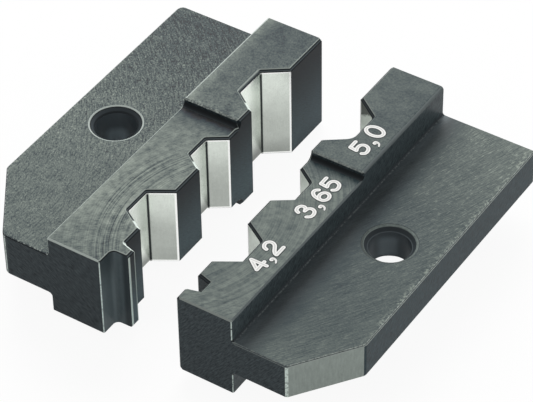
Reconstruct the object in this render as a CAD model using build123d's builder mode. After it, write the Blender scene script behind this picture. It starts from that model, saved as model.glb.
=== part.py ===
from build123d import *
from math import cos, radians, sqrt, tan
import os

# A pair of crimping die halves. Each half is one hardened steel block: a thick head with
# three half-hexagon nests along its mating face, and behind it a thinner plate with one
# bolt hole. The far part of the head is a taller stage that carries the largest nest.
# X is the closing direction, Y the row of nests, Z the height. The origin is the centre
# of the fixed half's bolt hole, halfway through its plate.

# Row of nests, from the front end face
row_length = 30.5
stage_start = 18.3
nest_a_centre = 7.15
nest_b_centre = 14.8
nest_c_centre = 22.9

# Each nest is marked with the size across its flats
nest_a_flats = 4.2
nest_b_flats = 3.65
nest_c_flats = 5.0
nest_a_depth = 1.95
nest_b_depth = 1.55
nest_c_depth = 2.0
nest_root_radius = 0.15
nest_c_worn_radius = 1.2

# Height of the head, and the step up to the stage, made above and below alike
head_height = 7.6
stage_step = 0.7
stage_foot_radius = 0.45

# Fixed half, depths from its mating face
fixed_head_depth = 5.3
fixed_depth = 14.0
fixed_plate_thickness = 4.1
fixed_corner_depth = 9.6
fixed_corner_length = 6.4
fixed_corner_radius = 0.8
fixed_far_radius = 0.6
fixed_bolt_setback = 9.8

# Moving half, depths from its mating face
moving_head_depth = 4.9
moving_depth = 13.3
moving_plate_thickness = 3.3
moving_corner_depth = 9.6
moving_corner_length = 5.0
moving_bolt_setback = 9.15

# Guide tooth of the fixed half, with the relieved strip in front of it
strip_relief = 0.4
tooth_start = 1.65
tooth_tip_width = 0.84
tooth_height = 1.05
tooth_near_draft = 1.5
tooth_far_draft = 16.0
tooth_foot_radius = 0.45
tooth_root_radius = 0.2

# Notch of the moving half that takes the tooth
notch_near_draft = 15.0
notch_clearance = 0.08
notch_floor_clearance = 0.06
notch_lip_radius = 0.25

# Bolt holes: normal clearance for an M3 screw
bolt_hole_radius = 1.7
bolt_hole_chamfer = 0.42

# Broken edges
mating_bevel = 0.25
edge_break = 0.12
stage_back_radius = 0.3
plate_foot_radius = 0.25

# Opening between the two mating faces with the pair apart
open_gap = 6.5

# Places on X and Y
bolt_row = row_length / 2
fixed_mating = fixed_bolt_setback
moving_mating = fixed_mating + open_gap
moving_bolt = moving_mating + moving_bolt_setback
front_end = -bolt_row

# Each half is drawn in its own plane: first from the mating face into the half, then
# along the row from the front end
fixed_plane = Plane((fixed_mating, front_end, 0), x_dir=(-1, 0, 0), z_dir=(0, 0, -1))
moving_plane = Plane((moving_mating, front_end, 0), x_dir=(1, 0, 0), z_dir=(0, 0, 1))

nests = (
    (nest_a_centre, nest_a_flats, nest_a_depth),
    (nest_b_centre, nest_b_flats, nest_b_depth),
    (nest_c_centre, nest_c_flats, nest_c_depth),
)

# Tooth and notch corners, as distances along the row
tooth_foot = tooth_start - (tooth_height + strip_relief) * tan(radians(tooth_near_draft))
tooth_end = tooth_start + tooth_tip_width
tooth_root = tooth_end + tooth_height * tan(radians(tooth_far_draft))
notch_depth = tooth_height + notch_floor_clearance
notch_start = tooth_start - notch_clearance - tooth_height * tan(radians(notch_near_draft))
notch_end = tooth_root + notch_clearance / cos(radians(tooth_far_draft))
notch_floor_start = notch_start + notch_depth * tan(radians(notch_near_draft))
notch_floor_end = notch_end - notch_depth * tan(radians(tooth_far_draft))

# Heights above and below the middle
head_rise = head_height / 2
stage_rise = head_rise + stage_step
fixed_plate_rise = fixed_plate_thickness / 2
moving_plate_rise = moving_plate_thickness / 2


def nest_corners(worn_radius=nest_root_radius):
    """Corners of the three nests in row order, each with the radius it is rounded to."""
    corners = []
    for centre, flats, depth in nests:
        half_mouth = flats / sqrt(3)
        half_floor = half_mouth / 2
        near_radius = worn_radius if centre == nest_c_centre else nest_root_radius
        corners += [
            ((0, centre - half_mouth), 0),
            ((depth, centre - half_floor), near_radius),
            ((depth, centre + half_floor), nest_root_radius),
            ((0, centre + half_mouth), 0),
        ]
    return corners


def draw_outline(corners):
    """Closed outline through corners, each given as a point and its radius."""
    with BuildLine() as outline:
        FilletPolyline(*[point for point, _ in corners], radius=[r for _, r in corners], close=True)
    return outline.line


def edges_at(part, plane, depth=None, along=None, height=None):
    """Edges with their middle at a depth, a distance along the row and a height."""
    found = ShapeList()
    for edge in part.edges():
        place = plane.to_local_coords(edge.center(CenterOf.BOUNDING_BOX))
        if depth is not None and abs(place.X - depth) > 0.001:
            continue
        if along is not None and abs(place.Y - along) > 0.001:
            continue
        if height is not None and abs(abs(place.Z) - height) > 0.001:
            continue
        found.append(edge)
    return found


def bevel_edges(part, plane, head_depth, start):
    """Edges of the mating side above and below, nests and all, from a start along the row."""
    found = ShapeList()
    for edge in part.edges():
        place = plane.to_local_coords(edge.center())
        on_end = place.Y < start or place.Y > row_length - 0.001
        on_step = stage_start - stage_foot_radius - 0.001 < place.Y < stage_start + 0.001
        if on_end or (on_step and abs((edge % 0.5).X) > 0.999):
            continue
        if abs(place.Z) > head_rise - 0.001 and place.X < head_depth - 0.001:
            found.append(edge)
    return found


def break_edges(part, plane, head_depth, plate_rise, start):
    """Outer edges of the end faces, of the plate, of the back of the head and up to a start."""
    ends = part.faces().filter_by(Axis.Y).sort_by(Axis.Y)
    smooth = part.faces().filter_by(GeomType.CYLINDER).edges().filter_by(Axis.Z)
    found = ShapeList(ends[0].edges() + ends[-1].edges())
    for edge in part.edges():
        place = plane.to_local_coords(edge.center(CenterOf.BOUNDING_BOX))
        if place.Y < 0.001 or place.Y > row_length - 0.001:
            continue
        on_plate = place.X > head_depth + plate_foot_radius + 0.001
        on_outline = on_plate and abs(abs(place.Z) - plate_rise) < 0.001
        on_post = on_plate and abs((edge % 0.5).Z) > 0.999
        on_top = abs(abs(place.Z) - head_rise) < 0.001
        on_head = on_top and (abs(place.X - head_depth) < 0.001 or place.Y < start)
        if on_outline or on_post or on_head:
            found.append(edge)
    return found.filter_by(lambda edge: not any(edge.is_same(seam) for seam in smooth))


os.makedirs("parts", exist_ok=True)

# Fixed half, with the guide tooth
fixed_plan = [
    ((fixed_head_depth, 0), 0),
    ((strip_relief, 0), 0),
    ((strip_relief, tooth_foot), tooth_foot_radius),
    ((-tooth_height, tooth_start), 0),
    ((-tooth_height, tooth_end), 0),
    ((0, tooth_root), tooth_root_radius),
    *nest_corners(),
    ((0, row_length), 0),
    ((fixed_head_depth, row_length), 0),
]
with BuildPart() as fixed_die:
    with BuildSketch(fixed_plane) as fixed_head:
        add(draw_outline(fixed_plan))
        make_face()
    extrude(amount=head_rise, both=True)
    with BuildSketch(fixed_plane):
        add(fixed_head.sketch_local)
        with Locations((-tooth_height, stage_start)):
            Rectangle(fixed_depth, row_length, align=Align.MIN, mode=Mode.INTERSECT)
    extrude(amount=stage_rise, both=True)
    fillet(edges_at(fixed_die.part, fixed_plane, None, stage_start, head_rise), stage_foot_radius)
    chamfer(bevel_edges(fixed_die.part, fixed_plane, fixed_head_depth, tooth_start), mating_bevel)
    with BuildSketch(fixed_plane):
        with BuildLine():
            FilletPolyline(
                (fixed_head_depth, 0),
                (fixed_corner_depth, 0),
                (fixed_depth, fixed_corner_length),
                (fixed_depth, row_length),
                (fixed_head_depth, row_length),
                radius=[0, fixed_corner_radius, 0, fixed_far_radius, 0],
                close=True,
            )
        make_face()
    extrude(amount=fixed_plate_rise, both=True)
    fillet(edges_at(fixed_die.part, fixed_plane, fixed_head_depth, None, fixed_plate_rise), plate_foot_radius)
    fillet(edges_at(fixed_die.part, fixed_plane, fixed_head_depth, None, stage_rise), stage_back_radius)
    Hole(bolt_hole_radius)
    chamfer(edges_at(fixed_die.part, fixed_plane, fixed_bolt_setback, bolt_row), bolt_hole_chamfer)
    outer = break_edges(fixed_die.part, fixed_plane, fixed_head_depth, fixed_plate_rise, tooth_start)
    chamfer(outer, edge_break)
fixed_die.part.label = "fixed_die"
export_step(fixed_die.part, "parts/fixed_die.step")

# Moving half, with the notch
moving_plan = [
    ((moving_head_depth, 0), 0),
    ((0, 0), 0),
    ((0, notch_start), notch_lip_radius),
    ((notch_depth, notch_floor_start), 0),
    ((notch_depth, notch_floor_end), 0),
    ((0, notch_end), 0),
    *nest_corners(nest_c_worn_radius),
    ((0, row_length), 0),
    ((moving_head_depth, row_length), 0),
]
with BuildPart() as moving_die:
    with BuildSketch(moving_plane) as moving_head:
        add(draw_outline(moving_plan))
        make_face()
    extrude(amount=head_rise, both=True)
    with BuildSketch(moving_plane):
        add(moving_head.sketch_local)
        with Locations((0, stage_start)):
            Rectangle(moving_depth, row_length, align=Align.MIN, mode=Mode.INTERSECT)
    extrude(amount=stage_rise, both=True)
    fillet(edges_at(moving_die.part, moving_plane, None, stage_start, head_rise), stage_foot_radius)
    chamfer(bevel_edges(moving_die.part, moving_plane, moving_head_depth, 0.001), mating_bevel)
    with BuildSketch(moving_plane):
        with BuildLine():
            Polyline(
                (moving_head_depth, 0),
                (moving_corner_depth, 0),
                (moving_depth, moving_corner_length),
                (moving_depth, row_length),
                (moving_head_depth, row_length),
                close=True,
            )
        make_face()
    extrude(amount=moving_plate_rise, both=True)
    fillet(edges_at(moving_die.part, moving_plane, moving_head_depth, None, moving_plate_rise), plate_foot_radius)
    fillet(edges_at(moving_die.part, moving_plane, moving_head_depth, None, stage_rise), stage_back_radius)
    with Locations((moving_bolt, 0, 0)):
        Hole(bolt_hole_radius)
    chamfer(edges_at(moving_die.part, moving_plane, moving_bolt_setback, bolt_row), bolt_hole_chamfer)
    outer = break_edges(moving_die.part, moving_plane, moving_head_depth, moving_plate_rise, 0)
    chamfer(outer, edge_break)
moving_die.part.label = "moving_die"
export_step(moving_die.part, "parts/moving_die.step")
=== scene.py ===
import math

import bpy
from mathutils import Matrix, Vector


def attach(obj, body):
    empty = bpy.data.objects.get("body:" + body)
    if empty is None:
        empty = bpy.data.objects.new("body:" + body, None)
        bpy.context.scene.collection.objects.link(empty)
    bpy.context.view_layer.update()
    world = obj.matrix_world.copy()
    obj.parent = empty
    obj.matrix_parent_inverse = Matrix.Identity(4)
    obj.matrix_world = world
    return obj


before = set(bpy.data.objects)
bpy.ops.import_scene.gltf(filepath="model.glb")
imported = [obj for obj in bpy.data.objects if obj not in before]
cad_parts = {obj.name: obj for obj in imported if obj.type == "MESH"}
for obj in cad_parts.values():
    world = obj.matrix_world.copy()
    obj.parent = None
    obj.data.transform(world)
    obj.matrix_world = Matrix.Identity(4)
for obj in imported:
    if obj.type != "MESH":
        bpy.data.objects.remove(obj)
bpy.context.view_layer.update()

# Looks of a pair of crimping die halves. Both solids stay as model.glb gives them and get
# their materials here. The printed sizes are the only pieces added.
MM = 0.001
scene = bpy.context.scene
scene.view_settings.view_transform = "Standard"

# Sizes of the pair in millimetres, as in part.py: the front end on Y and the mating faces on X,
# depths from the mating faces, rises above the middle of the plates, places along the row from
# the front end, and the radius of a bolt hole and of its chamfer's mouth
FRONT_END = -15.25
FIXED_MATING = 9.8
MOVING_MATING = 16.3
FIXED_DEPTH = 14.0
MOVING_DEPTH = 13.3
FIXED_BOLT_SETBACK = 9.8
MOVING_BOLT_SETBACK = 9.15
FIXED_PLATE_RISE = 2.05
MOVING_PLATE_RISE = 1.65
HEAD_RISE = 3.8
STAGE_RISE = 4.5
STAGE_START = 18.3
ROW_END = 30.5
TOOTH_START = 1.65
TOOTH_END = 2.49
HOLE_RADIUS = 1.7
MOUTH_RADIUS = 2.12

# Centre along the row, size across the flats and depth of each nest
NESTS = ((7.15, 4.2, 1.95), (14.8, 3.65, 1.55), (22.9, 5.0, 2.0))

# Centres on X and Y of the circles that the brush left on each plate and the milling cutter
# on each head
FIXED_BRUSH = (-20.0, -12.0)
MOVING_BRUSH = (-39.0, 33.0)
FIXED_CUTTER = (18.0, -7.6)
MOVING_CUTTER = (8.1, -7.6)

# Oxide steel: gain and lift of each channel for a value on tops, on walls and in the bluer
# painted shade by the foot of a plate, and the darkest it gets
TOP_STEEL = ((0.836, 0.909, 0.75), (-0.065, -0.053, -0.032))
WALL_STEEL = ((0.84, 1.04, 1.09), (-0.010, -0.008, -0.005))
FOOT_SHADE_STEEL = ((0.745, 0.909, 0.98), (-0.043, -0.053, -0.057))
DARKEST_STEEL = (0.006, 0.008, 0.009)

# Tints of the walls and the bore, of what is ground bright or carries a painted highlight, of
# dark edges and of light ones, painted highlights and wear, and of the moving hole's rim
PLAIN_TINT = (1.0, 1.0, 1.0)
BACK_TINT = (0.72, 0.94, 0.99)
MATING_TINT = (0.73, 0.94, 1.02)
BORE_TINT = (1.06, 1.0, 1.02)
GROUND_AND_HIGHLIGHT_TINT = (0.88, 1.0, 0.92)
DARK_EDGE_TINT = (0.78, 0.95, 1.05)
LIGHT_EDGE_TINT = (0.90, 1.0, 0.94)
LIP_TINT = (0.84, 1.0, 0.95)

# Nests: tint of their ground metal, colours of the painted highlights on their edges and of the
# painted shade along their root fillets
NEST_TINT = (0.935, 1.0, 0.925)
NEST_EDGE_HIGHLIGHT = (0.99, 1.0, 0.98)
NEST_ROOT_SHADE = (0.03, 0.04, 0.042)

NEST_ROUGHNESS = 0.24
STEEL_ROUGHNESS = 0.4
BUMP_HEIGHT = 0.004 * MM

# Camera at the photograph's viewing angle, fitted to corners of the solids
CAMERA_RIGHT = Vector((0.837854, 0.545741, -0.012925))
CAMERA_UP = Vector((-0.358493, 0.567928, 0.740906))
CAMERA_BACK = Vector((0.411683, -0.616137, 0.671485))
CAMERA_PLACE = Vector((103.375, -133.382, 145.928)) * MM
CAMERA_LENS = 188.04
CAMERA_SENSOR = 36.0
CAMERA_CLIP = (0.01, 20.0)

# Light, aimed at the middle of the pair, and floor, just under the stages, in metres
PAIR_MIDDLE = Vector((0.013, 0, 0))
KEY_DIRECTION = Vector((-0.41, 0.62, 0.67))
KEY_DISTANCE = 0.5
KEY_SIZE = 0.35
KEY_WATTS = 2.4
WORLD_STRENGTH = 0.45
FLOOR_REACH = 1.5
FLOOR_HEIGHT = -(STAGE_RISE + 0.01) * MM
FLOOR_WHITE = 0.93


def add_object(name, data):
    """New object of the scene that holds the data."""
    added = bpy.data.objects.new(name, data)
    scene.collection.objects.link(added)
    return added


def add_camera():
    data = bpy.data.cameras.new("camera")
    data.sensor_fit = "HORIZONTAL"
    data.sensor_width = CAMERA_SENSOR
    data.lens = CAMERA_LENS
    data.clip_start, data.clip_end = CAMERA_CLIP
    camera = add_object("camera", data)
    turn = Matrix((CAMERA_RIGHT, CAMERA_UP, CAMERA_BACK)).transposed().to_4x4()
    camera.matrix_world = Matrix.Translation(CAMERA_PLACE) @ turn
    scene.camera = camera


class Material:
    """A Principled material with short calls for the nodes that feed it."""

    def __init__(self, name, color=(0.5, 0.5, 0.5), roughness=0.5, specular=0.5):
        self.material = bpy.data.materials.new(name)
        self.material.use_nodes = True
        self.nodes = self.material.node_tree.nodes
        self.links = self.material.node_tree.links
        self.shader = self.nodes["Principled BSDF"]
        self.set("Base Color", color)
        self.set("Roughness", roughness)
        self.set("Specular IOR Level", specular)

    def put(self, socket, value):
        """Links a socket to another one, or sets it to a number or a colour."""
        if isinstance(value, bpy.types.NodeSocket):
            self.links.new(value, socket)
        elif hasattr(socket.default_value, "__len__") and len(socket.default_value) == 4:
            socket.default_value = (*value[:3], 1)
        else:
            socket.default_value = value

    def set(self, name, value):
        self.put(self.shader.inputs[name], value)

    def feed(self, node, *values):
        """Puts values on the first sockets of a node, in their order. Gives its first output."""
        for socket, value in zip(node.inputs, values):
            self.put(socket, value)
        return node.outputs[0]

    def fill(self, node, values):
        """Puts values on sockets of a node, each given by its name or place."""
        for socket, value in values.items():
            self.put(node.inputs[socket], value)

    def math(self, operation, *values):
        node = self.nodes.new("ShaderNodeMath")
        node.operation = operation
        return self.feed(node, *values)

    def vector(self, operation, *values):
        node = self.nodes.new("ShaderNodeVectorMath")
        node.operation = operation
        return self.feed(node, *values)

    def combine(self, x, y, z=0.0):
        return self.feed(self.nodes.new("ShaderNodeCombineXYZ"), x, y, z)

    def split(self, vector):
        node = self.nodes.new("ShaderNodeSeparateXYZ")
        self.feed(node, vector)
        return node.outputs

    def times(self, *values):
        result = values[0]
        for value in values[1:]:
            result = self.math("MULTIPLY", result, value)
        return result

    def plus(self, *values):
        result = values[0]
        for value in values[1:]:
            result = self.math("ADD", result, value)
        return result

    def minus(self, a, b):
        return self.math("SUBTRACT", a, b)

    def inverse(self, value):
        return self.minus(1.0, value)

    def size(self, value):
        return self.math("ABSOLUTE", value)

    def most(self, a, b):
        return self.math("MAXIMUM", a, b)

    def least(self, a, b):
        return self.math("MINIMUM", a, b)

    def distance(self, a, b):
        """Length of the way over two steps at right angles."""
        return self.math("SQRT", self.plus(self.times(a, a), self.times(b, b)))

    def mix(self, factor, a, b):
        """Colour between two colours."""
        node = self.nodes.new("ShaderNodeMix")
        node.data_type = "RGBA"
        self.fill(node, {"Factor": factor, 6: a, 7: b})
        return node.outputs[2]

    def blend(self, factor, a, b):
        """Number between two numbers."""
        node = self.nodes.new("ShaderNodeMix")
        node.data_type = "FLOAT"
        self.fill(node, {"Factor": factor, 2: a, 3: b})
        return node.outputs[0]

    def gray(self, value, tint):
        """Gray of a value, tinted."""
        return self.vector("MULTIPLY", self.combine(value, value, value), tint)

    def step(self, value, low, high):
        """0 below low, 1 above high, smooth between."""
        node = self.nodes.new("ShaderNodeMapRange")
        node.interpolation_type = "SMOOTHSTEP"
        self.fill(node, {"Value": value, "From Min": low, "From Max": high})
        return node.outputs["Result"]

    def fade(self, value, low, high):
        """1 below low, 0 above high, smooth between."""
        return self.inverse(self.step(value, low, high))

    def level(self, value, low, high, at_low, at_high):
        """Straight scale from low..high to at_low..at_high, held at its ends."""
        node = self.nodes.new("ShaderNodeMapRange")
        self.fill(node, {"Value": value, "From Min": low, "From Max": high})
        self.fill(node, {"To Min": at_low, "To Max": at_high})
        return node.outputs["Result"]

    def between(self, value, low, high, soft=0.02):
        """1 from low to high, with soft ends."""
        above = self.step(value, low - soft, low + soft)
        return self.times(above, self.fade(value, high - soft, high + soft))

    def line(self, value, middle, half_width):
        """1 on a middle, falling to 0 at half a width from it."""
        offset = self.size(self.minus(value, middle))
        return self.fade(offset, half_width * 0.4, half_width)

    def noise(self, vector, scale, detail=2.0, rough=0.5):
        node = self.nodes.new("ShaderNodeTexNoise")
        self.fill(node, {"Vector": vector, "Scale": scale, "Detail": detail, "Roughness": rough})
        return node.outputs["Fac"]

    def swing(self, noise, amount, spread=0.2):
        """A noise as a change around 0."""
        return self.level(noise, 0.5 - spread, 0.5 + spread, -amount, amount)

    def bump(self, height, distance, strength):
        node = self.nodes.new("ShaderNodeBump")
        self.fill(node, {"Height": height, "Distance": distance, "Strength": strength})
        return node.outputs["Normal"]


class Die(Material):
    """Black oxide steel with ground nests, for one half of the pair.

    Places are in millimetres on the half: depth from its mating face into it, along the row
    from its front end, and height. A value says how light a face looks, with painted light and
    shade in it. Each half gives where it is, how strong the painted highlights and the wear on its
    edges are, and what its top faces and walls are like."""

    def __init__(self, name):
        super().__init__(name, specular=0.1)
        place = self.nodes.new("ShaderNodeTexCoord").outputs["Object"]
        self.place = self.vector("MULTIPLY", place, (1 / MM, 1 / MM, 1 / MM))
        self.x, self.y, self.z = self.split(self.place)
        self.depth = self.times(self.minus(self.x, self.mating), self.toward)
        self.along = self.minus(self.y, FRONT_END)
        self.across_wall = self.plus(self.x, self.y)
        self.height = self.size(self.z)
        self.find_faces()
        self.find_levels()
        self.find_hole()
        self.speckle = self.noise(self.place, 5.5, 3.0, 0.65)
        self.cloud = self.noise(self.place, 0.55, 3.0, 0.55)
        self.blots = self.noise(self.place, 1.9, 5.0, 0.65)

    def find_faces(self):
        """Which way a face looks: out of the mating face, along the row, and if it is a top, a
        wall or a slope between them."""
        geometry = self.nodes.new("ShaderNodeNewGeometry")
        normal_x, normal_y, normal_z = self.split(geometry.outputs["True Normal"])
        self.outward = self.times(normal_x, -self.toward)
        self.facing = normal_y
        tilt = self.size(normal_z)
        self.top = self.step(tilt, 0.93, 0.97)
        self.wall = self.fade(tilt, 0.1, 0.3)
        self.slope = self.times(self.inverse(self.top), self.inverse(self.wall))

    def find_levels(self):
        """Head or plate, head or stage, how far a place is under their top faces, and how far
        up it is from the lower face, 0 to 1."""
        self.on_head = self.step(self.height, 2.6, 3.0)
        self.on_stage = self.step(self.along, STAGE_START - 0.05, STAGE_START + 0.05)
        rise = self.blend(self.on_stage, HEAD_RISE, STAGE_RISE)
        self.fall = self.minus(rise, self.height)
        self.plate_fall = self.minus(self.plate_rise, self.height)
        self.level_up = self.math("DIVIDE", self.plus(self.z, rise), self.times(rise, 2.0))

    def find_hole(self):
        """Distance from the axis of the bolt hole, and place across it from left to right."""
        away = self.minus(self.depth, self.bolt_setback)
        self.from_bolt = self.distance(away, self.y)
        self.over_hole = self.plus(self.times(away, self.toward, 0.85), self.times(self.y, 0.53))

    def streaks(self, first, second, across, length, detail=3.0):
        """Noise over two lengths, each a sum of shares of two coordinates."""
        lengths = [self.plus(self.times(first, a), self.times(second, b)) for a, b in (across, length)]
        return self.noise(self.combine(*lengths), 1.0, detail, 0.7)

    def sweep(self, centre):
        """Distance from a centre and turn round it."""
        dx = self.minus(self.x, centre[0])
        dy = self.minus(self.y, centre[1])
        return self.distance(dx, dy), self.math("ARCTAN2", dx, dy)

    def arcs(self, centre, across, length, detail=3.0, rough=0.55):
        """Noise drawn out along circles round a centre, as a cutter or a brush leaves it."""
        radius, turn = self.sweep(centre)
        place = self.combine(self.times(radius, across), self.times(turn, length))
        return self.noise(place, 1.0, detail, rough)

    def uneven(self, speckle, blots, cloud):
        """1, changed by shares of the three noises that every face has."""
        return self.plus(
            1.0, self.swing(self.speckle, speckle), self.swing(self.blots, blots),
            self.swing(self.cloud, cloud))

    def specks(self):
        """Light specks, dark enough between them to leave the mean as it is."""
        return self.plus(self.step(self.noise(self.place, 9.0, 1.0), 0.62, 0.72), -0.09)

    def strokes(self):
        """Fine strokes across the front of a head."""
        return self.swing(self.streaks(self.x, self.y, (-5.9, 9.0), (0.8, 0.5), 2.0), 0.24)

    def steel(self, value, tone):
        """Oxide steel colour for a value, which is how light its green looks."""
        color = self.vector("MULTIPLY_ADD", self.combine(value, value, value), *tone)
        return self.vector("MAXIMUM", color, DARKEST_STEEL)

    def tops_color(self):
        """Top faces, darker round the hole, and in the bluer tone of painted shade by the foot of the plate.
        """
        value = self.blend(self.on_head, self.plate(), self.blend(self.on_stage, self.head(), self.stage()))
        round_hole = self.times(self.line(self.from_bolt, MOUTH_RADIUS + 0.10, 0.12), self.hole_shade)
        value = self.times(value, self.inverse(round_hole))
        # Painted shade by the foot of the plate: there the tops take the bluer tone of steel in shade
        foot = self.times(self.inverse(self.on_head), self.fade(self.depth, 5.0, 7.5), self.foot_shade)
        return self.mix(foot, self.steel(value, TOP_STEEL), self.steel(value, FOOT_SHADE_STEEL))

    def walls_color(self):
        """Walls and bore, with what is ground light and the painted highlights on them."""
        value, light = self.walls()
        in_bore = self.fade(self.from_bolt, HOLE_RADIUS + 0.1, HOLE_RADIUS + 0.2)
        value = self.blend(in_bore, value, self.bore())
        # Painted highlights on the upright edges of the front end join those of the walls
        light = self.least(self.most(light, self.post_highlights()), 0.9)
        mating = self.times(self.step(self.outward, 0.5, 0.8), self.fade(self.depth, 0.02, 0.1))
        back = self.times(self.fade(self.outward, -0.8, -0.5), self.step(self.depth, 8.0, 9.0))
        tint = self.mix(mating, self.mix(back, PLAIN_TINT, BACK_TINT), MATING_TINT)
        tint = self.mix(in_bore, tint, BORE_TINT)
        dark = self.vector("MULTIPLY", self.steel(value, WALL_STEEL), tint)
        return self.vector("ADD", dark, self.gray(light, GROUND_AND_HIGHLIGHT_TINT))

    def post_highlights(self):
        """Painted highlights, in spots, on the upright edges of the front end, wide beside a ground corner.
        """
        narrow = self.times(self.fade(self.along, 0.12, 0.16), self.line(self.along, 0.05, 0.04))
        wide = self.times(self.step(self.depth, 9.4, 9.5), self.fade(self.along, 0.10, 0.20), self.wide_post)
        upright = self.step(self.size(self.outward), 0.25, 0.4)
        spots = self.step(self.speckle, 0.30, 0.50)
        return self.times(self.most(narrow, wide), upright, spots, self.post_highlight_amount)

    def slope_color(self):
        """Bevels, broken edges, the hole's chamfer, the foot of the stage and that of the plate."""
        in_chamfer = self.fade(self.from_bolt, MOUTH_RADIUS + 0.18, MOUTH_RADIUS + 0.28)
        edge = self.step_up(self.blend(in_chamfer, self.edges(), self.chamfer()))
        at_foot = self.times(
            self.fade(self.depth, 5.6, 5.7), self.inverse(self.on_head), self.step(self.along, 0.1, 0.2))
        # Painted highlight in spots along the upper edge of the plate's foot
        spots = self.times(
            self.line(self.plate_fall, 0.0, 0.08), self.step(self.speckle, 0.42, 0.58), self.foot_highlight)
        edge = self.blend(at_foot, edge, self.plus(0.07, spots))
        return self.gray(edge, self.mix(self.step(edge, 0.05, 0.30), DARK_EDGE_TINT, LIGHT_EDGE_TINT))

    def edges(self):
        """Edges on the outside, with painted highlights and spots of wear. Bevels on the mating side:
        dark between two fine painted highlights, or a painted highlight where they look to the far end."""
        mating = self.most(self.step(self.outward, 0.2, 0.4), self.step(self.along, 1.0, 1.1))
        mating = self.times(mating, self.fade(self.depth, 2.1, 2.2), self.on_head)
        # Fine painted highlights at two heights along the mating bevels
        inner = self.times(self.line(self.fall, 0.16, 0.05), self.inner_highlight)
        outer = self.times(self.line(self.fall, 0.02, 0.05), self.outer_highlight)
        edge = self.blend(mating, self.wear_and_highlights(), self.plus(0.02, inner, outer))
        # Painted highlight on the bevels that look to the far end
        lit = self.times(mating, self.step(self.facing, 0.2, 0.35), self.fade(self.depth, 0.85, 1.0))
        return self.blend(self.times(lit, self.bevel_highlights), edge, 0.94)

    def step_up(self, edge):
        """The step up to the stage: its rounded foot, dark with painted shade, and its upper edge, a painted
        highlight with spots of wear.
        """
        on_step = self.times(
            self.between(self.along, STAGE_START - 0.5, STAGE_START + 0.15), self.step(self.depth, 0.25, 0.3),
            self.fade(self.depth, 5.2, 5.6), self.step(self.height, HEAD_RISE - 0.02, HEAD_RISE))
        # Painted shade in the rounded foot, and a painted highlight with spots of wear on the upper edge
        foot = self.level(self.along, STAGE_START - 0.45, STAGE_START - 0.1, 0.075, 0.02)
        upper = self.plus(0.20, self.times(self.step(self.speckle, 0.45, 0.6), self.step_wear))
        value = self.blend(self.step(self.height, STAGE_RISE - 0.16, STAGE_RISE - 0.14), foot, upper)
        return self.blend(on_step, edge, value)

    def nests(self):
        """Nests, ground bright, with painted light and shade over their floors and far walls, painted shade
        along each root fillet and a painted highlight along each far wall's mouth.
        Gives the mask of their walls, the mask of the painted root shade and the colour."""
        inside, root_shade, lines, floors, far_walls = 0.0, 0.0, 0.0, 0.0, 0.0
        far = self.fade(self.facing, -0.4, -0.3)
        for (centre, flats, nest_depth), (floor_light, far_light) in zip(NESTS, self.nest_painted_light):
            half_mouth = flats / math.sqrt(3)
            root, mouth = centre + half_mouth / 2, centre + half_mouth
            here = self.times(
                self.between(self.along, centre - half_mouth, mouth, 0.01),
                self.between(self.depth, 0.01, nest_depth + 0.1, 0.01))
            inside = self.plus(inside, here)
            # Painted shade along the root fillet
            root_shade = self.plus(root_shade, self.line(self.along, root, 0.10))
            # Painted highlight along the mouth of the far wall
            lines = self.plus(lines, self.times(far, self.between(self.along, mouth - 0.09, mouth)))
            floors = self.plus(floors, self.times(here, self.nest_floor(*floor_light)))
            far_walls = self.plus(far_walls, self.times(here, self.nest_far(root, mouth, *far_light)))
        grain = self.combine(self.times(self.y, 9.0), self.times(self.x, 9.0), self.times(self.z, 1.2))
        texture = self.plus(self.uneven(0.03, 0.04, 0.04), self.swing(self.noise(grain, 1.0), 0.02))
        metal = self.times(self.blend(far, floors, far_walls), texture, self.nest_shade())
        # Painted highlight in a band just under the top of the walls
        rim = self.times(self.between(self.fall, 0.2, 0.36, 0.03), self.wall, self.nest_rim_highlight)
        color = self.mix(self.least(self.plus(lines, rim), 1.0), self.gray(metal, NEST_TINT), NEST_EDGE_HIGHLIGHT)
        color = self.mix(self.times(root_shade, self.inverse(rim)), color, NEST_ROOT_SHADE)
        return self.times(inside, self.wall), root_shade, color

    def nest_floor(self, top, middle, low):
        """Value of a nest's floor in painted light by height, with painted shade at its lower edge."""
        up = self.level_up
        upper = self.blend(self.step(up, 0.52, 0.85), middle, top)
        value = self.blend(self.step(up, 0.44, 0.56), low, upper)
        return self.times(value, self.blend(self.step(up, 0.06, 0.32), 0.25, 1.0))

    def nest_far(self, root, mouth, top, low, foot):
        """Value of a nest's far wall in painted light by height, with a painted highlight near the top of its
        middle.
        """
        up = self.level_up
        across = self.level(self.along, root, mouth, 0.0, 1.0)
        painted_glow = self.times(self.line(across, 0.6, 1.3), self.step(up, 0.45, 0.9), 0.12)
        lower = self.blend(self.step(up, 0.02, 0.28), foot, low)
        return self.plus(self.blend(self.step(up, 0.3, 0.92), lower, top), painted_glow)

    def nest_shade(self):
        """Painted shade in the nests, of which a half may have none."""
        return 1.0

    def paint(self):
        """Feeds the shader and gives the material."""
        in_nests, root_shade, nest_color = self.nests()
        color = self.mix(self.top, self.walls_color(), self.tops_color())
        color = self.mix(self.slope, color, self.slope_color())
        steel_roughness = self.plus(STEEL_ROUGHNESS, self.swing(self.speckle, 0.06))
        self.set("Base Color", self.mix(in_nests, color, nest_color))
        self.set("Metallic", self.times(in_nests, self.inverse(root_shade), self.nest_metallic))
        self.set("Roughness", self.blend(in_nests, steel_roughness, NEST_ROUGHNESS))
        self.set("Normal", self.bump(self.times(self.speckle, 0.6), BUMP_HEIGHT, 0.5))
        return self.material


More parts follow.
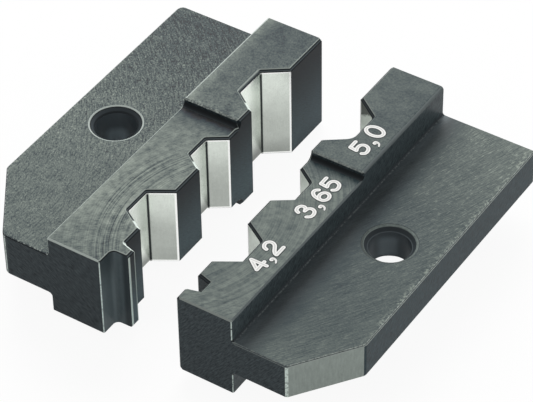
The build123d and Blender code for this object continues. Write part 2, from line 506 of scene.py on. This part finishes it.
class FixedDie(Die):
    """Plate brushed in long arcs, head milled in short ones, stage stoned smooth."""

    mating = FIXED_MATING
    toward = -1.0
    bolt_setback = FIXED_BOLT_SETBACK
    plate_rise = FIXED_PLATE_RISE
    # Strengths of the painted highlights on edges, bevels, the plate's foot, the upright edges and the nest
    # rims, of wear on the step's edge and of the painted shade by the plate's foot
    inner_highlight = 0.10
    outer_highlight = 0.50
    bevel_highlights = 1.0
    step_wear = 0.32
    foot_shade = 0.0
    foot_highlight = 0.0
    hole_shade = 0.22
    wide_post = 0.0
    post_highlight_amount = 0.9
    nest_rim_highlight = 1.0
    nest_metallic = 1.0
    # Painted light and shade of each nest: its floor at its top, middle and lower part, then its far
    # wall at its top, lower part and foot
    nest_painted_light = (
        ((0.78, 0.81, 0.97), (0.65, 0.45, 0.40)),
        ((0.80, 0.80, 0.90), (0.60, 0.45, 0.45)),
        ((0.98, 0.70, 0.80), (0.68, 0.52, 0.34)),
    )

    def __init__(self, name):
        super().__init__(name)
        self.grain = self.streaks(self.x, self.y, (8.5, 5.0), (-2.2, 3.8), 2.0)

    def plate(self):
        """Rougher towards the far end, darker there and by the head with painted shade, and with a light rim
        at the back.
        """
        swirl = self.arcs(FIXED_BRUSH, 7.0, 26.0)
        rough = self.plus(
            self.swing(self.grain, 0.48, 0.22), self.swing(swirl, 0.30), self.swing(self.speckle, 0.12),
            self.times(self.specks(), 0.85))
        rough = self.times(rough, self.level(self.along, 8.0, 24.0, 1.0, 1.7))
        rim = self.times(
            self.step(self.depth, FIXED_DEPTH - 0.5, FIXED_DEPTH - 0.2),
            self.step(self.speckle, 0.48, 0.58), 0.5)
        value = self.plus(1.0, rough, self.swing(self.cloud, 0.12), rim)
        # Painted shade: darker towards the far end, and by the head in the line below
        level = self.level(self.along, 15.0, 30.0, 0.200, 0.114)
        return self.times(value, level, self.blend(self.step(self.depth, 5.3, 6.6), 0.86, 1.0))

    def head(self):
        """Cutter marks, strongest in one band, strokes at the front, a light back edge and the
        shade of the step."""
        band = self.between(self.sweep(FIXED_CUTTER)[0], 9.6, 12.2, 0.6)
        mill = self.swing(self.arcs(FIXED_CUTTER, 9.0, 1.3, 1.0, 0.5), 0.30, 0.16)
        cuts = self.step(self.arcs(FIXED_CUTTER, 6.0, 1.0, 1.0), 0.54, 0.64)
        scratches = self.swing(self.streaks(self.x, self.y, (9.0, -6.0), (0.7, 1.1), 2.0), 0.20)
        value = self.plus(
            self.uneven(0.14, 0.34, 0.12), scratches,
            self.times(mill, self.blend(band, 0.30, 1.0)),
            self.times(cuts, self.blend(band, 0.12, 1.0), -0.42),
            self.times(self.strokes(), self.fade(self.along, 2.5, 5.5)),
            self.times(self.step(self.depth, 4.5, 5.1), 0.18))
        return self.times(
            value, self.level(self.along, 2.0, 5.0, 0.216, 0.286),
            self.level(self.along, 6.0, 15.0, 1.0, 0.80),
            self.blend(self.step(self.along, 15.4, 17.0), 1.0, 0.70),
            self.blend(self.step(self.along, 16.6, 18.0), 1.0, 0.30))

    def stage(self):
        """Light spots of wear along its borders, and lighter towards the back and at the far corner."""
        border = self.most(self.step(self.depth, 4.3, 5.1), self.fade(self.along, 18.5, 19.3))
        border = self.most(border, self.fade(self.depth, 0.3, 0.9))
        value = self.plus(
            self.uneven(0.42, 0.26, 0.18), self.swing(self.grain, 0.22),
            self.times(border, self.step(self.blots, 0.46, 0.62), 0.34),
            self.times(self.step(self.depth, 3.9, 5.1), 0.60),
            self.times(self.step(self.depth, 3.4, 4.8), self.step(self.along, 27.6, 30.0), 0.45))
        return self.times(value, self.level(self.along, STAGE_START, ROW_END - 1.5, 0.168, 0.122))

    def walls(self):
        """Marks of grinding, a mating side with a painted sheen that darkens upwards, and the smooth strip
        and foot of the tooth, painted light, with a painted sheen on the tooth's foot. Gives the value,
        and the painted highlights on the two edges of the tooth's tip."""
        up = self.level_up
        mating = self.step(self.outward, 0.5, 0.8)
        # Painted sheen on the mating face, lighter towards its foot
        painted_sheen = self.times(
            self.blend(self.step(up, 0.15, 1.0), 0.122, 0.022),
            self.blend(self.step(up, -0.1, 0.2), 0.75, 1.0))
        value = self.times(self.blend(mating, 0.046, painted_sheen), self.level(self.along, 22.0, 28.0, 1.0, 0.74))
        # The strip is painted light, lighter on its lower half
        strip = self.times(
            self.step(self.outward, 0.1, 0.3), self.fade(self.along, TOOTH_START - 0.06, TOOTH_START - 0.03))
        value = self.blend(strip, value, self.blend(self.step(up, 0.5, 1.0), 0.182, 0.079))
        flank = self.times(self.inverse(mating), self.between(self.along, 0.95, 2.05, 0.05))
        # Painted sheen down the foot of the tooth
        tooth_foot_sheen = self.times(self.line(self.depth, 0.05, 0.75), 0.085)
        value = self.blend(flank, value, self.plus(0.045, tooth_foot_sheen))
        rough = self.inverse(self.times(self.most(strip, flank), 0.85))
        marks = self.swing(self.streaks(self.across_wall, self.z, (1.5, -0.9), (6.0, 9.0)), 0.9)
        marks = self.times(marks, self.blend(mating, 1.0, 0.25), rough)
        speckle = self.times(self.swing(self.speckle, 0.16), rough)
        value = self.times(value, self.most(self.plus(1.0, marks, speckle), 0.3))
        # Painted highlights along the near and far edges of the tooth's tip
        tip = self.times(mating, self.fade(self.depth, -1.0, -0.95))
        near_edge = self.times(self.line(self.along, TOOTH_START + 0.04, 0.24), tip)
        far_edge = self.times(self.line(self.along, TOOTH_END, 0.12), tip, 0.55)
        return value, self.plus(near_edge, far_edge)

    def wear_and_highlights(self):
        """Painted highlight all along the head's edges; on the plate's edges a faint painted highlight with
        spots of wear.
        """
        spots = self.plus(0.08, self.times(self.step(self.speckle, 0.46, 0.60), 0.45))
        plate = self.plus(0.02, self.times(self.line(self.plate_fall, 0.02, 0.06), spots))
        return self.blend(self.on_head, plate, 0.55)

    def bore(self):
        """Dark, with painted light low on the wall across from the camera, and darker to the right."""
        painted_glow = self.times(self.line(self.over_hole, -0.1, 1.2), self.line(self.z, -1.2, 1.6), 0.26)
        return self.times(self.plus(0.14, painted_glow), self.level(self.over_hole, 0.2, 1.2, 1.0, 0.65))

    def chamfer(self):
        """Gray, lighter to the left, between two dark lines, with a painted highlight on its rim."""
        value = self.level(self.over_hole, -1.9, 1.9, 0.085, 0.055)
        value = self.blend(self.fade(self.from_bolt, 1.80, 1.84), value, 0.035)
        value = self.blend(self.step(self.from_bolt, 2.00, 2.03), value, 0.025)
        # Painted highlight on the rim at the chamfer's mouth
        rim = self.step(self.from_bolt, MOUTH_RADIUS - 0.03, MOUTH_RADIUS - 0.015)
        return self.blend(rim, value, 0.50)


class MovingDie(Die):
    """Plate brushed in one long sweep, head milled in arcs, stage stoned smooth."""

    mating = MOVING_MATING
    toward = 1.0
    bolt_setback = MOVING_BOLT_SETBACK
    plate_rise = MOVING_PLATE_RISE
    # Strengths of the painted highlights on edges, bevels, the plate's foot, the upright edges and the nest
    # rims, of wear on the step's edge and of the painted shade by the plate's foot
    inner_highlight = 0.03
    outer_highlight = 0.30
    bevel_highlights = 0.0
    step_wear = 0.16
    foot_shade = 1.0
    foot_highlight = 0.11
    hole_shade = 0.0
    wide_post = 1.0
    post_highlight_amount = 0.8
    nest_rim_highlight = 0.0
    nest_metallic = 0.05
    # As for the fixed half
    nest_painted_light = (
        ((0.75, 0.75, 0.75), (0.80, 0.75, 0.70)),
        ((0.80, 0.80, 0.80), (0.86, 0.84, 0.75)),
        ((0.80, 0.75, 0.75), (0.86, 0.84, 0.75)),
    )

    def __init__(self, name):
        super().__init__(name)
        self.brush = self.arcs(MOVING_BRUSH, 9.0, 45.0, 3.0, 0.6)

    def plate(self):
        """Smooth by the head, with painted shade of the head on it and painted light on its foot, sparks
        further out and a rim with spots of wear at the back.
        """
        wide = self.arcs(MOVING_BRUSH, 1.3, 14.0, 2.0, 0.5)
        rough = self.plus(
            self.swing(self.brush, 0.29), self.swing(wide, 0.10), self.swing(self.speckle, 0.24),
            self.times(self.specks(), 0.30))
        rough = self.times(rough, self.blend(self.step(self.depth, 5.5, 9.0), 0.35, 1.0))
        sparks = self.times(
            self.step(self.arcs(MOVING_BRUSH, 13.0, 100.0, 1.0, 0.5), 0.61, 0.68),
            self.level(self.along, 8.0, 22.0, 0.38, 0.84), self.step(self.depth, 5.5, 8.0))
        rim = self.times(
            self.step(self.depth, MOVING_DEPTH - 0.6, MOVING_DEPTH - 0.2),
            self.step(self.blots, 0.46, 0.60), self.step(self.speckle, 0.40, 0.56), 1.2)
        value = self.plus(1.0, rough, self.swing(self.cloud, 0.05), sparks, rim)
        level = self.plus(
            self.level(self.along, 20.0, 30.0, 0.120, 0.172),
            self.times(self.fade(self.along, 0.0, 5.0), 0.040),
            self.times(self.step(self.depth, 8.0, 12.5), 0.014))
        # Painted shade of the head over the plate, and painted light lifting the foot of the head
        painted_light_by_head = self.plus(
            self.blend(self.step(self.depth, 6.4, 8.4), 0.80, 1.11),
            self.times(self.fade(self.depth, 5.2, 6.0), 0.44))
        return self.times(value, level, painted_light_by_head)

    def head(self):
        """Cutter marks, strokes at the front and the shade of the step."""
        mill = self.arcs(MOVING_CUTTER, 6.5, 1.3, 3.0, 0.6)
        rows = self.arcs(MOVING_CUTTER, 1.8, 1.0, 2.0, 0.5)
        value = self.plus(
            self.uneven(0.12, 0.24, 0.12), self.swing(mill, 0.20, 0.16), self.swing(rows, 0.08),
            self.times(self.plus(self.strokes(), 0.05), self.fade(self.along, 1.0, 3.5)))
        return self.times(
            value, self.level(self.along, 3.0, 8.0, 0.192, 0.212),
            self.blend(self.step(self.along, 16.0, 17.2), 1.0, 0.78),
            self.blend(self.step(self.along, 17.0, 18.2), 1.0, 0.55))

    def stage(self):
        """Brushed lightly, as the plate is."""
        value = self.plus(self.uneven(0.34, 0.14, 0.20), self.swing(self.brush, 0.10))
        return self.times(value, self.level(self.along, STAGE_START, ROW_END - 1.5, 0.151, 0.138))

    def walls(self):
        """Marks of grinding. Gives the value, and the light of the cut corner, ground bright."""
        back = self.fade(self.outward, -0.8, -0.5)
        value = self.blend(back, 0.053, self.blend(self.step(self.depth, 6.0, 7.0), 0.099, 0.056))
        marks = self.swing(self.streaks(self.across_wall, self.z, (1.0, 1.3), (-8.0, 6.2)), 0.75)
        value = self.times(value, self.most(self.plus(1.0, marks, self.swing(self.speckle, 0.20)), 0.3))
        corner = self.times(back, self.fade(self.facing, -0.5, -0.4), self.step(self.depth, 9.0, 9.1))
        grain = self.noise(self.combine(self.times(self.y, 7.0), self.times(self.z, 0.9)), 1.0, 3.0, 0.6)
        ground = self.plus(1.0, self.swing(grain, 0.12), self.swing(self.speckle, 0.06))
        return self.times(value, self.inverse(corner)), self.times(corner, ground, 0.37)

    def wear_and_highlights(self):
        """Painted highlights along both sides of each broken edge of the plate, less at the front end, with
        spots of wear on the upper side, and a painted highlight on the head's edges.
        """
        behind_end = self.step(self.along, 0.12, 0.2)
        spots = self.plus(0.22, self.times(self.step(self.speckle, 0.40, 0.60), 0.30))
        upper = self.times(self.line(self.plate_fall, 0.02, 0.05), spots)
        lower = self.times(self.line(self.plate_fall, 0.12, 0.05), 0.45)
        plate = self.plus(0.03, self.times(self.plus(upper, lower), self.blend(behind_end, 0.45, 1.0)))
        return self.blend(self.on_head, plate, self.blend(behind_end, 0.31, 0.18))

    def bore(self):
        """Dark, with painted light half way down the wall across from the camera, darker to the right and
        towards the top.
        """
        painted_glow = self.times(self.line(self.over_hole, -0.1, 1.0), self.line(self.z, -0.2, 1.2), 0.16)
        value = self.times(self.plus(0.15, painted_glow), self.level(self.over_hole, -0.2, 1.4, 1.0, 0.72))
        return self.times(value, self.level(self.z, 0.6, 1.3, 1.0, 0.68))

    def chamfer(self):
        """Dark, with a thin painted highlight at its lower edge."""
        return self.plus(0.05, self.times(self.line(self.from_bolt, HOLE_RADIUS + 0.02, 0.05), 0.07))

    def slope_color(self):
        """The hole's chamfer has an outer part as light as the plate, with a painted highlight at its
        left. The rest is as on any half."""
        value = self.plus(0.135, self.times(self.over_hole, 0.010), self.times(self.y, 0.018))
        value = self.times(value, self.plus(1.0, self.swing(self.speckle, 0.25)))
        # Painted highlight along the left of the chamfer's outer part
        left = self.level(self.over_hole, -2.0, 0.5, 0.12, 0.0)
        value = self.plus(value, self.times(self.line(self.from_bolt, 2.02, 0.04), left))
        lip = self.between(self.from_bolt, 2.0, 2.2, 0.01)
        return self.mix(lip, super().slope_color(), self.gray(value, LIP_TINT))

    def nest_shade(self):
        """Painted shade: the upper part of the far wall in the largest nest is dark."""
        slant = self.times(self.minus(2.0, self.depth), 0.85)
        edge = self.plus(self.z, slant, self.swing(self.blots, 0.2))
        return self.blend(self.times(self.on_stage, self.step(edge, 4.25, 4.55)), 1.0, 0.20)


# Signs of the printed sizes. A stroke is a line, a smooth curve through its points or a ring
# round a middle, with half its width and height. A point is given in millimetres along the
# reading direction and up from the foot of the sign, with its share of the full width where
# that is less than all of it.
STROKES = {
    "0": [("ring", 0.5, 0.745, 0.51, 0.745)],
    "2": [
        ("curve", (0.10, 0.97), (0.20, 1.22), (0.45, 1.37), (0.72, 1.36), (0.92, 1.18), (0.94, 0.93),
         (0.81, 0.69), (0.57, 0.53), (0.27, 0.36), (0.08, 0.19), (0.0, 0.0)),
        ("line", (0.0, 0.0), (0.97, 0.0)),
    ],
    "3": [
        ("curve", (0.10, 1.10), (0.22, 1.33), (0.50, 1.42), (0.78, 1.32), (0.88, 1.09), (0.78, 0.88),
         (0.49, 0.76)),
        ("curve", (0.55, 0.76), (0.83, 0.69), (0.97, 0.44), (0.87, 0.15), (0.57, 0.0), (0.22, 0.04),
         (0.0, 0.30)),
    ],
    "4": [
        ("line", (0.72, 1.33), (0.0, 0.36)),
        ("line", (0.0, 0.36), (1.02, 0.36)),
        ("line", (0.74, -0.04), (0.72, 1.33)),
    ],
    "5": [
        ("line", (0.95, 1.38), (0.16, 1.38)),
        ("line", (0.16, 1.38), (0.09, 0.78)),
        ("curve", (0.09, 0.78), (0.42, 0.89), (0.75, 0.84), (0.93, 0.65), (0.94, 0.37), (0.78, 0.12),
         (0.48, 0.0), (0.18, 0.03), (0.0, 0.25)),
    ],
    "6": [
        ("curve", (0.88, 1.14), (0.68, 1.35), (0.40, 1.35), (0.14, 1.10), (0.02, 0.72), (0.0, 0.40)),
        ("ring", 0.45, 0.39, 0.45, 0.39),
    ],
    ",": [
        ("curve", (0.16, 0.03, 1.05), (0.29, 0.03, 0.9), (0.34, -0.13, 0.62), (0.24, -0.32, 0.5),
         (0.03, -0.43, 0.42)),
    ],
}
STROKE_RADIUS = 0.16
CURVE_STEPS = 8
RING_STEPS = 40
CAP_STEPS = 8

# The dark rim round the signs is wider than they are and lies under them, and each stroke
# lies a little over the one before it
RIM_WIDTH = 0.07
RIM_LIFT = 0.004
INK_LIFT = 0.02
STROKE_LIFT = 0.001

# Name and text of each printed size, where its signs start on Y, where their foot is on X,
# and the height of the face that it is on
MARKINGS = (
    ("marking_a", "4,2", (-9.72, -8.39, -7.59), 20.14, HEAD_RISE),
    ("marking_b", "3,65", (-2.88, -1.53, -0.68, 0.72), 20.08, HEAD_RISE),
    ("marking_c", "5,0", (4.84, 6.25, 7.11), 20.16, STAGE_RISE),
)


def on_curve(p, q, r, s, share):
    """Coordinate of a smooth curve at a share of the way from q to r, with p before them and
    s after."""
    bend = 2 * p - 5 * q + 4 * r - s
    twist = 3 * q - p - 3 * r + s
    return 0.5 * (2 * q + (r - p) * share + bend * share ** 2 + twist * share ** 3)


def smooth_points(points):
    """Points along a smooth curve through the given ones."""
    found = []
    for i in range(len(points) - 1):
        a, b = points[max(i - 1, 0)], points[i]
        c, d = points[i + 1], points[min(i + 2, len(points) - 1)]
        for k in range(CURVE_STEPS):
            found.append(tuple(on_curve(*four, k / CURVE_STEPS) for four in zip(a, b, c, d)))
    return found + [points[-1]]


def stroke_points(stroke):
    """Points of a stroke's centre line, each with its share of the full width, and whether
    the line is closed."""
    kind, *given = stroke
    if kind == "ring":
        s, t, half_width, half_height = given
        turns = [math.tau * k / RING_STEPS for k in range(RING_STEPS)]
        return [(s + half_width * math.cos(a), t + half_height * math.sin(a), 1.0) for a in turns], True
    points = [(*point, 1.0)[:3] for point in given]
    return (smooth_points(points) if kind == "curve" else points), False


def headings(points, closed):
    """Unit direction of a centre line at each of its points."""
    count = len(points)
    found = []
    for i in range(count):
        a = points[(i - 1) % count if closed else max(i - 1, 0)]
        b = points[(i + 1) % count if closed else min(i + 1, count - 1)]
        length = math.hypot(b[0] - a[0], b[1] - a[1])
        found.append(((b[0] - a[0]) / length, (b[1] - a[1]) / length))
    return found


class Marking:
    """A printed size: flat ribbons with round ends along the strokes of its signs."""

    def __init__(self, base, height, radius):
        self.base = base
        self.height = height
        self.radius = radius
        self.start = 0.0
        self.vertices, self.faces, self.across = [], [], []

    def write(self, text, starts):
        for sign, start in zip(text, starts):
            self.start = start
            for stroke in STROKES[sign]:
                self.add_stroke(stroke)
                self.height += STROKE_LIFT

    def add_vertex(self, s, t, across):
        """Vertex at a point of the sign, with 0 on the centre line and 1 at the edge."""
        self.vertices.append(((self.base - t) * MM, (self.start + s) * MM, self.height * MM))
        self.across.append(across)

    def add_stroke(self, stroke):
        points, closed = stroke_points(stroke)
        directions = headings(points, closed)
        first, count = len(self.vertices), len(points)
        for (s, t, share), (ds, dt) in zip(points, directions):
            r = self.radius * share
            self.add_vertex(s - dt * r, t + ds * r, 1.0)
            self.add_vertex(s, t, 0.0)
            self.add_vertex(s + dt * r, t - ds * r, 1.0)
        for i in range(count if closed else count - 1):
            a, b = first + 3 * i, first + 3 * ((i + 1) % count)
            self.faces += [(a, a + 1, b + 1, b), (a + 1, a + 2, b + 2, b + 1)]
        if not closed:
            for i, way in ((0, -1), (count - 1, 1)):
                ds, dt = directions[i]
                self.add_cap(points[i], math.atan2(dt * way, ds * way), first + 3 * i + 1)

    def add_cap(self, point, heading, middle):
        """Round end: a fan from the vertex on the centre line."""
        s, t, share = point
        r = self.radius * share
        ring = len(self.vertices)
        for k in range(CAP_STEPS + 1):
            angle = heading - math.pi / 2 + math.pi * k / CAP_STEPS
            self.add_vertex(s + r * math.cos(angle), t + r * math.sin(angle), 1.0)
        self.faces += [(middle, ring + k, ring + k + 1) for k in range(CAP_STEPS)]

    def build(self, name, material):
        mesh = bpy.data.meshes.new(name)
        mesh.from_pydata(self.vertices, [], self.faces)
        for face in mesh.polygons:
            if face.normal.z < 0:
                face.flip()
        layer = mesh.attributes.new("across", "FLOAT", "POINT")
        layer.data.foreach_set("value", self.across)
        mesh.materials.append(material)
        piece = add_object(name, mesh)
        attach(piece, "moving_half")


def rim_ink():
    """Dark ink, slightly uneven."""
    ink = Material("marking_rim", roughness=0.45, specular=0.1)
    place = ink.nodes.new("ShaderNodeTexCoord").outputs["Object"]
    ink.set("Base Color", ink.mix(ink.noise(place, 6000.0), (0.016, 0.026, 0.026), (0.030, 0.044, 0.044)))
    return ink.material


def white_ink():
    """White ink, darker along the middle of each stroke."""
    ink = Material("marking_white", (0.85, 0.85, 0.82), roughness=0.6, specular=0.2)
    across = ink.nodes.new("ShaderNodeAttribute")
    across.attribute_name = "across"
    edge = ink.step(across.outputs["Fac"], 0.1, 0.5)
    ink.set("Base Color", ink.mix(edge, (0.63, 0.63, 0.61), (0.88, 0.88, 0.86)))
    return ink.material


def add_floor():
    """Floor that is seen as white and still takes the object's shadow."""
    mesh = bpy.data.meshes.new("floor")
    sides = ((-1, -1), (1, -1), (1, 1), (-1, 1))
    corners = [(x * FLOOR_REACH, y * FLOOR_REACH, FLOOR_HEIGHT) for x, y in sides]
    mesh.from_pydata(corners, [], [(0, 1, 2, 3)])
    floor = add_object("floor", mesh)
    ground = Material("floor", (0.95, 0.95, 0.95), roughness=0.8, specular=0.0)
    rays = ground.nodes.new("ShaderNodeLightPath").outputs
    seen = ground.most(ground.most(rays["Is Camera Ray"], rays["Is Glossy Ray"]), rays["Is Transmission Ray"])
    white = ground.nodes.new("ShaderNodeEmission")
    white.inputs["Strength"].default_value = 1.0
    shown = ground.feed(
        ground.nodes.new("ShaderNodeMixShader"),
        ground.times(seen, FLOOR_WHITE), ground.shader.outputs[0], white.outputs[0])
    ground.put(ground.nodes["Material Output"].inputs["Surface"], shown)
    mesh.materials.append(ground.material)


def add_light():
    """One softbox over the far left."""
    data = bpy.data.lights.new("key", "AREA")
    data.shape = "SQUARE"
    data.size = KEY_SIZE
    data.energy = KEY_WATTS
    light = add_object("key", data)
    light.location = PAIR_MIDDLE + KEY_DIRECTION.normalized() * KEY_DISTANCE
    light.rotation_euler = (PAIR_MIDDLE - light.location).to_track_quat("-Z", "Y").to_euler()


def add_world():
    """Even white light from all round."""
    world = bpy.data.worlds.new("world")
    world.use_nodes = True
    background = world.node_tree.nodes["Background"]
    background.inputs["Color"].default_value = (1, 1, 1, 1)
    background.inputs["Strength"].default_value = WORLD_STRENGTH
    scene.world = world


add_camera()
for node, die in (("fixed_die", FixedDie), ("moving_die", MovingDie)):
    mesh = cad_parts[node].data
    mesh.materials.clear()
    mesh.materials.append(die(node).paint())

layers = (
    ("_rim", RIM_LIFT, STROKE_RADIUS + RIM_WIDTH, rim_ink()),
    ("", INK_LIFT, STROKE_RADIUS, white_ink()),
)
for name, text, starts, base, face_height in MARKINGS:
    for ending, lift, radius, ink in layers:
        marking = Marking(base, face_height + lift, radius)
        marking.write(text, starts)
        marking.build(name + ending, ink)

add_floor()
add_light()
add_world()

bpy.context.view_layer.update()
